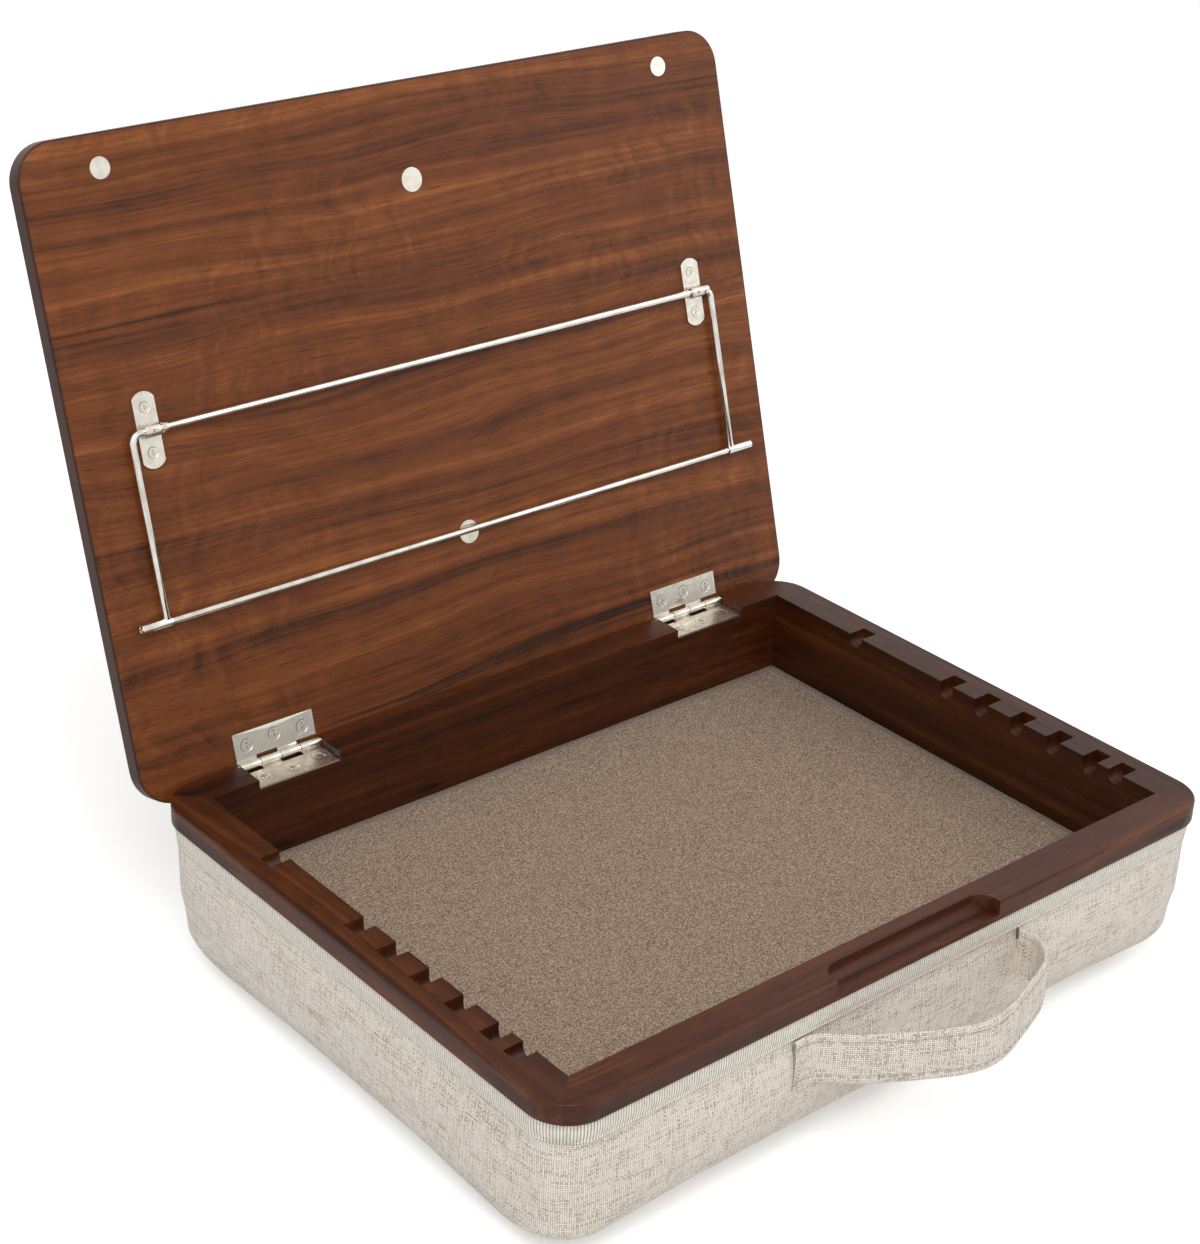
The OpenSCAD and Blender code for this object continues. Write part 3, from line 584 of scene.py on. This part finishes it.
def finished(name, mesh_data, material, body):
    """A new smooth-shaded object that rides on a body, with its finish."""
    mesh = bpy.data.meshes.new(name)
    mesh_data.to_mesh(mesh)
    mesh_data.free()
    mesh.polygons.foreach_set("use_smooth", [True] * len(mesh.polygons))
    mesh.materials.append(material)
    piece = bpy.data.objects.new(name, mesh)
    scene.collection.objects.link(piece)
    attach(piece, body)
    return piece


def skin(rows, lengths_u, lengths_v, creased=()):
    """Faces between closed rings, open at both ends, with the cloth map on their corners."""
    made = bmesh.new()
    cloth = made.loops.layers.uv.new("cloth")
    count = len(rows[0])
    points = [[made.verts.new(p) for p in row] for row in rows]
    for k in range(len(rows) - 1):
        for j in range(count):
            n = (j + 1) % count
            face = made.faces.new((points[k + 1][j], points[k + 1][n], points[k][n], points[k][j]))
            flat = ((j, k + 1), (j + 1, k + 1), (j + 1, k), (j, k))
            for loop, (u, v) in zip(face.loops, flat):
                loop[cloth].uv = (lengths_u[u], lengths_v[v])
    crease = made.edges.layers.float.new("crease_edge")
    for ring in creased:
        for j in range(count):
            made.edges.get((points[ring][j], points[ring][(j + 1) % count]))[crease] = 1.0
    bmesh.ops.recalc_face_normals(made, faces=made.faces)
    return made


def cover_rows(columns):
    """The cover's rings as (height, inset at the sides, inset at the ends, corner radius)."""
    rows = [(z, COVER_T, COVER_T, CORNER_R - COVER_T) for z in (BOARD_Z - 0.1 * MM, COVER_TOP)]
    wall = max(1, round((COVER_TOP - BOARD_Z) / SPACING))
    rows += [(COVER_TOP + (BOARD_Z - COVER_TOP) * i / wall, 0, 0, CORNER_R) for i in range(wall)]
    # The sides draw in towards the lower edge
    for i in range(TAPER_ROWS):
        k = i / TAPER_ROWS
        inset = TAPER * math.sin(k * QUARTER)
        rows.append((BOARD_Z + (EDGE_H - BOARD_Z) * k, inset, inset, CORNER_R))
    # The lower edge is a quarter turn, longer at the ends than at the sides
    for i in range(EDGE_ROWS):
        a = i / (EDGE_ROWS - 1) * QUARTER
        turned = 1 - math.cos(a)
        rows.append((EDGE_H - (EDGE_H - CROWN_H) * math.sin(a), TAPER + EDGE_SIDE_W * turned,
                     TAPER + EDGE_FRONT_W * turned, CORNER_R + (FOOT_R - CORNER_R) * math.sin(a)))
    # A shallow crown runs from the edge to the flat middle of the underside
    for i in range(1, CROWN_ROWS + 1):
        k = i / CROWN_ROWS
        rows.append((CROWN_H * (1 - k) ** 2, TAPER + EDGE_SIDE_W + CROWN_W * k,
                     TAPER + EDGE_FRONT_W + CROWN_W * k, FOOT_R))
    return rows


def make_cover():
    columns = ring_columns(SPACING, CORNER_STEPS)
    levels = cover_rows(columns)
    rows = [[ring_point(c, ix, iy, r).to_3d() + Vector((0, 0, z)) for c in columns]
            for z, ix, iy, r in levels]
    # A whole number of thread pairs goes round, so the weave meets itself
    around = ring_lengths([p.to_2d() for p in rows[2]])
    threads = round(around[-1] / (2 * THREAD))
    around = [length * threads * 2 * THREAD / around[-1] for length in around]
    down = [0.0]
    for (z0, ax, ay, _), (z1, bx, by, _) in zip(levels, levels[1:]):
        down.append(down[-1] + math.hypot(z1 - z0, (bx + by - ax - ay) / 2))
    shape = skin(rows, around, down, creased=(1, 2))
    return finished("cushion_cover", shape, linen, "tray")


cushion_cover = make_cover()
print("cover", len(cushion_cover.data.vertices), "points")

# %% [markdown]
# ### Blowing the cover up
# The points under the tape and on the flat underside are held. A little pressure then
# rounds the cloth between them. No point may end further than about two millimetres
# from where it began, so that the desk keeps its size, and none goes below the floor.

# %% Cloth simulation
MOST_MOVE = 2.2 * MM
PRESSURE = 3.0
FRAMES = 20
HELD_ABOVE = BOARD_Z + 22 * MM
HELD_BELOW = 0.25 * MM


def is_held(place):
    """True under the tape, on the inner wall and on the flat underside."""
    past_side = max(abs(place.x) - SIDE_X, abs(place.y) - SIDE_Y)
    inner_wall = past_side < -COVER_T * 0.9 and place.z > BOARD_Z - MM
    return place.z > HELD_ABOVE or place.z < HELD_BELOW or inner_wall


def hold_group(piece):
    group = piece.vertex_groups.new(name="held")
    held = [v.index for v in piece.data.vertices if is_held(v.co)]
    group.add(held, 1.0, "REPLACE")
    return group.name


def puff(piece):
    """Runs the simulation and keeps its last shape, with each point's move cut to the limit."""
    before = [v.co.copy() for v in piece.data.vertices]
    cloth = piece.modifiers.new("puff", "CLOTH")
    cloth.settings.use_pressure = True
    cloth.settings.uniform_pressure_force = PRESSURE
    cloth.settings.effector_weights.gravity = 0
    cloth.settings.tension_stiffness = 25
    cloth.settings.compression_stiffness = 8
    cloth.settings.bending_stiffness = 0.6
    cloth.settings.vertex_group_mass = hold_group(piece)
    cloth.collision_settings.use_collision = False
    for number in range(1, FRAMES + 1):
        scene.frame_set(number)
    shape = piece.evaluated_get(bpy.context.evaluated_depsgraph_get()).to_mesh()
    after = [v.co.copy() for v in shape.vertices]
    piece.modifiers.remove(cloth)
    scene.frame_set(1)
    moved = 0.0
    for vertex, old, new in zip(piece.data.vertices, before, after):
        step = new - old
        if step.length > MOST_MOVE:
            step *= MOST_MOVE / step.length
        moved = max(moved, step.length)
        vertex.co = old + step
        vertex.co.z = max(vertex.co.z, 0.0)
    return moved


print("cover moved by up to", round(puff(cushion_cover) * 1000, 2), "mm")

# %% [markdown]
# ### Wrinkles and a finer mesh
# Noise gives the cover soft hollows, and puckers where it is gathered under the tape. A
# crease runs down each corner. Then the mesh is subdivided once while its ends are still
# open. A closed end with hundreds of corners would take minutes to subdivide.

# %% Wrinkles and corner creases
WRINKLED_BELOW = BOARD_Z + 30 * MM
PUCKER_BELOW_TOP = 14 * MM
CREASE_W = 4 * MM


def near(value, place, width):
    """One at the place, falling smoothly to zero within a few widths of it."""
    return math.exp(-((value - place) / width) ** 2)


def relax_cover(piece):
    """Shallow puckers below the tape, soft hollows, and a crease down each corner."""
    corner = Vector((SIDE_X - CORNER_R * 0.3, SIDE_Y - CORNER_R * 0.3))
    normals = [v.normal.copy() for v in piece.data.vertices]
    for vertex, normal in zip(piece.data.vertices, normals):
        p = vertex.co
        if p.z > WRINKLED_BELOW or p.z < 0.3 * MM or normal.z > 0.5:
            continue
        gathered = near(p.z, COVER_TOP - PUCKER_BELOW_TOP, PUCKER_BELOW_TOP)
        pucker = noise.noise(Vector((p.x * 90, p.y * 90, p.z * 14))) * gathered
        hollow = noise.noise(Vector((p.x * 16 + 4, p.y * 16, p.z * 22)))
        gap = (Vector((abs(p.x), abs(p.y))) - corner).length
        crease = near(gap, 0, CREASE_W) * 0.35
        vertex.co = p + normal * MM * (0.22 * pucker + 0.30 * hollow - crease)


def refine(piece):
    """Subdivides an open shell once, keeps the result, and then closes its open ends."""
    smooth = piece.modifiers.new("smooth", "SUBSURF")
    smooth.levels = smooth.render_levels = 1
    shape = piece.evaluated_get(bpy.context.evaluated_depsgraph_get())
    fine = bpy.data.meshes.new_from_object(shape)
    piece.modifiers.clear()
    piece.data = fine
    made = bmesh.new()
    made.from_mesh(fine)
    bmesh.ops.holes_fill(made, edges=[e for e in made.edges if e.is_boundary])
    bmesh.ops.recalc_face_normals(made, faces=made.faces)
    made.to_mesh(fine)
    made.free()


relax_cover(cushion_cover)
refine(cushion_cover)
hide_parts("fabric_cover", "cushion_core")

# %% [markdown]
# ## Edging tape
# A ribbed tape covers the raw top edge of the cover, under the rim. Its face is slightly
# rounded, and a thin folded lip shows along its lower edge.

# %% Tape
TAPE_LOW, TAPE_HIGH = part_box("binding_tape")
TAPE_SPACING, TAPE_CORNER_STEPS = 3 * MM, 12
TAPE_BACK_H = 10 * MM
# Millimetres down from the top, and how far the face stands off the cover there
TAPE_PROFILE = [(0.1, 0.1), (0.1, 0.9), (1.2, 1.35), (3.2, 1.55), (5.5, 1.5), (7.6, 1.25), (9.0, 0.85),
                (9.5, 0.7), (9.9, 0.95), (10.5, 1.0), (10.9, 0.7), (10.9, 0.15)]


def make_tape():
    columns = ring_columns(TAPE_SPACING, TAPE_CORNER_STEPS)
    rows, down = [], [0.0]
    for low, out in TAPE_PROFILE:
        row = []
        for column in columns:
            _, angle, share = column
            # The tape's face is pulled in a little where it turns a corner
            pulled = 1.1 * math.sin(math.radians(angle) * 2) if share == 0.0 else 0.0
            reach = (out - pulled * (0.9 if out > 0.3 else 0.0)) * MM
            point = ring_point(column, -reach, -reach, CORNER_R + reach)
            row.append(point.to_3d() + Vector((0, 0, TAPE_HIGH.z - low * MM)))
        rows.append(row)
    for (a, b), (c, d) in zip(TAPE_PROFILE, TAPE_PROFILE[1:]):
        down.append(down[-1] + math.hypot(c - a, d - b) * MM)
    around = ring_lengths([p.to_2d() for p in rows[0]])
    # The first row comes again at the end, and its points are merged with the first ones
    made = skin(rows + rows[:1], around, down + [down[-1] + TAPE_BACK_H])
    bmesh.ops.remove_doubles(made, verts=made.verts, dist=SAME_PLACE / 10)
    bmesh.ops.recalc_face_normals(made, faces=made.faces)
    return finished("edging_tape", made, twill, "tray"), around[-1]


edging_tape, tape_length = make_tape()
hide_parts("binding_tape")
print("tape", len(edging_tape.data.vertices), "points")

# %% [markdown]
# ## Strap handle
# The handle is a strip of the same linen, folded double and stitched along both edges.
# Its left end is sewn flat on the cover. From there it bows out, and its right end goes
# into a slot in the cover.

# %% Strap
STRAP_LOW, STRAP_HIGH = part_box("carry_handle")
STRAP_LEFT, STRAP_RIGHT, STRAP_BOW, STRAP_TAB = 71 * MM, 66 * MM, 37.6 * MM, 7 * MM
STRAP_T = 3.0 * MM
# Half of the section, from the edge to the middle: height share and thickness share. The
# dip at 0.70 is the groove that the stitches pull in
STITCH_ROW = 0.70
STRAP_EDGE = [(1.0, 0.0), (0.985, 0.42), (0.95, 0.62), (0.88, 0.74), (0.80, 0.80), (0.735, 0.78),
              (STITCH_ROW, 0.40), (0.665, 0.80), (0.55, 0.92), (0.3, 1.0), (0.0, 1.0)]
# The strap's line seen from above, as shares of its length and of its bow
STRAP_SHAPE = [(0.10, 0.07), (0.19, 0.34), (0.29, 0.57), (0.40, 0.79), (0.50, 0.95), (0.58, 1), (0.67, 0.95),
               (0.76, 0.84), (0.84, 0.74), (0.92, 0.62), (0.98, 0.43), (1.008, 0.22), (1, 0)]


def smooth_line(points, steps):
    """A curve through the points, by the rule that each stretch heads for its neighbours."""
    line = []
    for i in range(len(points) - 1):
        a, b = points[max(i - 1, 0)], points[i]
        c, d = points[i + 1], points[min(i + 2, len(points) - 1)]
        for k in range(steps):
            t = k / steps
            line.append((2 * b + (c - a) * t + (2 * a - 5 * b + 4 * c - d) * t * t
                         + (3 * b - a - 3 * c + d) * t ** 3) / 2)
    return line + [points[-1]]


def strap_line():
    face = -SIDE_Y - STRAP_T / 2 - 0.1 * MM
    span = STRAP_LEFT + STRAP_RIGHT
    start = [Vector((k * STRAP_TAB - STRAP_LEFT, face)) for k in (0, 0.5, 1)]
    bow = [Vector((x * span - STRAP_LEFT, face - y * STRAP_BOW)) for x, y in STRAP_SHAPE]
    return smooth_line(start + bow, 6)


def side_of(line, i):
    """The direction square to the line, away from the desk on the strap's outer side."""
    along = (line[min(i + 1, len(line) - 1)] - line[max(i - 1, 0)]).normalized()
    return Vector((along.y, -along.x))


def make_strap():
    line = strap_line()
    middle = (STRAP_LOW.z + STRAP_HIGH.z) / 2
    half_h, half_t = (STRAP_HIGH.z - STRAP_LOW.z) / 2, STRAP_T / 2
    outer = STRAP_EDGE + [(-h, t) for h, t in reversed(STRAP_EDGE[:-1])]
    section = outer + [(h, -t) for h, t in reversed(outer[1:-1])]
    travel = [0.0]
    for a, b in zip(line, line[1:]):
        travel.append(travel[-1] + (b - a).length)

    def place(i, h, t):
        """A point of the strap: a step along it, a share of its height and of its thickness."""
        bowed = math.sin(math.pi * travel[i] / travel[-1])
        wave = 0.35 * MM * noise.noise(Vector((travel[i] * 45, 0, 7)))
        lean = (0.5 - h / 2) * 1.2 * MM * bowed
        flat = line[i] + side_of(line, i) * (t * half_t + wave * h + lean)
        return flat.to_3d() + Vector((0, 0, middle + h * half_h - 0.36 * MM * bowed))

    rows = [[place(i, h, t) for h, t in section] for i in range(len(line))]
    across = [0.0]
    for (h0, t0), (h1, t1) in zip(section, section[1:] + section[:1]):
        across.append(across[-1] + math.hypot((h1 - h0) * half_h, (t1 - t0) * half_t))
    made = skin(rows, across, travel)
    return finished("strap_handle", made, linen, "tray"), place, travel


strap_handle, strap_place, strap_travel = make_strap()
refine(strap_handle)
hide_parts("carry_handle")
print("strap", round(strap_travel[-1] * 1000, 1), "mm long")

# %% [markdown]
# ### Stitches and the slot's painted shadow
# Every stitch is a short length of thread that thins out at both ends. Two
# rows run along the strap and one across its sewn end. The other end of the strap goes
# into a slot, whose shade is painted as a narrow dark spindle.

# %% Stitches and the slot's painted shadow
STITCH_R = 0.30 * MM
STITCH_SIDES = 6
SLOT_SIDES = 28
SLOT_HALF_W = 1.3 * MM


def close_tube(made, rings):
    """Faces between rings of points, and one across each end."""
    count = len(rings[0])
    for first, second in zip(rings, rings[1:]):
        for k in range(count):
            made.faces.new((first[k], first[(k + 1) % count], second[(k + 1) % count], second[k]))
    made.faces.new(list(reversed(rings[0])))
    made.faces.new(rings[-1])


def add_stitch(made, a, b):
    along = (b - a).normalized()
    side = along.orthogonal().normalized()
    up = along.cross(side)
    rings = []
    for share, thick in ((0.0, 0.3), (0.22, 1.0), (0.78, 1.0), (1.0, 0.3)):
        middle = a.lerp(b, share)
        turns = [k * math.tau / STITCH_SIDES for k in range(STITCH_SIDES)]
        rings.append([made.verts.new(middle + (side * math.cos(t) + up * math.sin(t)) * STITCH_R * thick)
                      for t in turns])
    close_tube(made, rings)


def make_stitches():
    made = bmesh.new()
    for height in (-STITCH_ROW, STITCH_ROW):
        for i in range(3, len(strap_travel) - 6, 2):
            add_stitch(made, strap_place(i, height, 0.80), strap_place(i + 1, height, 0.80))
    for k in range(7):
        low = -0.84 + k * 0.24
        add_stitch(made, strap_place(2, low, 1.02), strap_place(2, low + 0.15, 1.02))
    bmesh.ops.recalc_face_normals(made, faces=made.faces)
    return finished("strap_stitches", made, thread, "tray")


def make_slot_shadow():
    """Painted shadow: a thin dark spindle on the cover where the strap goes in, standing in for the shade
    inside the slot.
    """
    made = bmesh.new()
    high, low, x = STRAP_HIGH.z + 0.8 * MM, STRAP_LOW.z + 1.5 * MM, STRAP_RIGHT - 0.4 * MM
    rings = []
    for depth, width in ((0.6, 0.2), (0.1, 1.0), (-0.35, 0.9), (-0.5, 0.3)):
        ring = []
        for k in range(SLOT_SIDES):
            a = k * math.tau / SLOT_SIDES
            z = (high + low) / 2 + (high - low) / 2 * math.sin(a) * (0.9 + 0.1 * width)
            y = -SIDE_Y - 0.3 * MM + depth * MM
            ring.append(made.verts.new((x + SLOT_HALF_W * width * math.cos(a), y, z)))
        rings.append(ring)
    close_tube(made, rings)
    bmesh.ops.recalc_face_normals(made, faces=made.faces)
    return finished("strap_slot_shadow", made, slot_shadow_finish, "tray")


strap_stitches = make_stitches()
# The slot's shade is painted on this dark spindle.
strap_slot_shadow = make_slot_shadow()
print("stitches", len(strap_stitches.data.polygons), "faces")

# %% [markdown]
# ## Lining
# The mat on the tray's floor is a thin sheet, cut to fit and laid in loose. Its edge
# is lower than its face, which isn't quite flat.

# %% Lining mat
MAT_COLUMNS, MAT_ROWS = 60, 44
MAT_EDGE_DROP = 0.6 * MM
MAT_WAVE = 0.12 * MM


def mat_top(low, high, i, j):
    """A point of the mat's face, uneven all over and lower at the edge."""
    x = low.x + (high.x - low.x) * i / MAT_COLUMNS
    y = low.y + (high.y - low.y) * j / MAT_ROWS
    drop = MAT_EDGE_DROP if min(i, MAT_COLUMNS - i, j, MAT_ROWS - j) == 0 else 0.0
    wave = MAT_WAVE * noise.noise(Vector((x * 30, y * 30, 0))) - MAT_WAVE
    return Vector((x, y, high.z + wave - drop))


def make_lining():
    low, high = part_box("floor_liner")
    made = bmesh.new()
    size = high - low
    tops = [[made.verts.new(mat_top(low, high, i, j)) for i in range(MAT_COLUMNS + 1)]
            for j in range(MAT_ROWS + 1)]
    for j in range(MAT_ROWS):
        for i in range(MAT_COLUMNS):
            made.faces.new((tops[j][i], tops[j][i + 1], tops[j + 1][i + 1], tops[j + 1][i]))
    border = [e for e in made.edges if e.is_boundary]
    ring = bmesh.ops.extrude_edge_only(made, edges=border)["geom"]
    lower = [v for v in ring if isinstance(v, bmesh.types.BMVert)]
    for v in lower:
        v.co.z = low.z
    edges = [e for e in made.edges if e.is_boundary]
    bmesh.ops.contextual_create(made, geom=edges)
    bmesh.ops.recalc_face_normals(made, faces=made.faces)
    return finished("lining_mat", made, lining, "tray"), size


lining_mat, lining_size = make_lining()
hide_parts("floor_liner")
print("lining", lining_size)

# %% [markdown]
# ## Floor and light
# The desk stands on a white floor. The camera and mirrors see a white sky, which lights
# everything else less strongly. The floor glows a little to the camera, so that it is
# white where no shadow falls.

# %% Floor, world and lamps
scene.view_settings.view_transform = "Standard"


def white_floor():
    made = Finish("white floor", Base_Color=(0.9, 0.9, 0.9, 1), Roughness=0.9)
    seen = made.graph.node("LightPath").outputs["Is Camera Ray"]
    made.feed("Emission Color", (1, 1, 1, 1))
    made.feed("Emission Strength", made.graph.times(seen, 0.35))
    return made.material


FLOOR_SIZE, FLOOR_GAP = 8, 0.2 * MM
bpy.ops.mesh.primitive_plane_add(size=FLOOR_SIZE, location=(0, 0, -FLOOR_GAP))
floor = bpy.context.object
floor.name = "floor"
floor.data.materials.append(white_floor())


def area_lamp(name, place, target, size, power):
    """A square lamp that faces a point. Its power is in watts."""
    data = bpy.data.lights.new(name, "AREA")
    data.size = size
    data.energy = power
    lamp = bpy.data.objects.new(name, data)
    lamp.location = place
    lamp.rotation_euler = (Vector(target) - Vector(place)).to_track_quat("-Z", "Y").to_euler()
    scene.collection.objects.link(lamp)


area_lamp("key", (-0.9, -0.9, 1.9), (0, 0, 0.1), 1.2, 22)
area_lamp("fill", (1.6, -0.8, 1.2), (0, 0, 0.15), 1.6, 8)


SKY_STRENGTH, SKY_SEEN_MORE = 0.6, 0.4


def white_sky():
    world = bpy.data.worlds.new("studio")
    world.use_nodes = True
    graph = Graph(world.node_tree)
    path = graph.node("LightPath")
    mirrored = graph.math("MAXIMUM", path.outputs["Is Camera Ray"], path.outputs["Is Glossy Ray"])
    sky = world.node_tree.nodes["Background"]
    sky.inputs["Color"].default_value = (1, 1, 1, 1)
    graph.feed(sky.inputs["Strength"], graph.add(SKY_STRENGTH, graph.times(mirrored, SKY_SEEN_MORE)))
    return world


scene.world = white_sky()
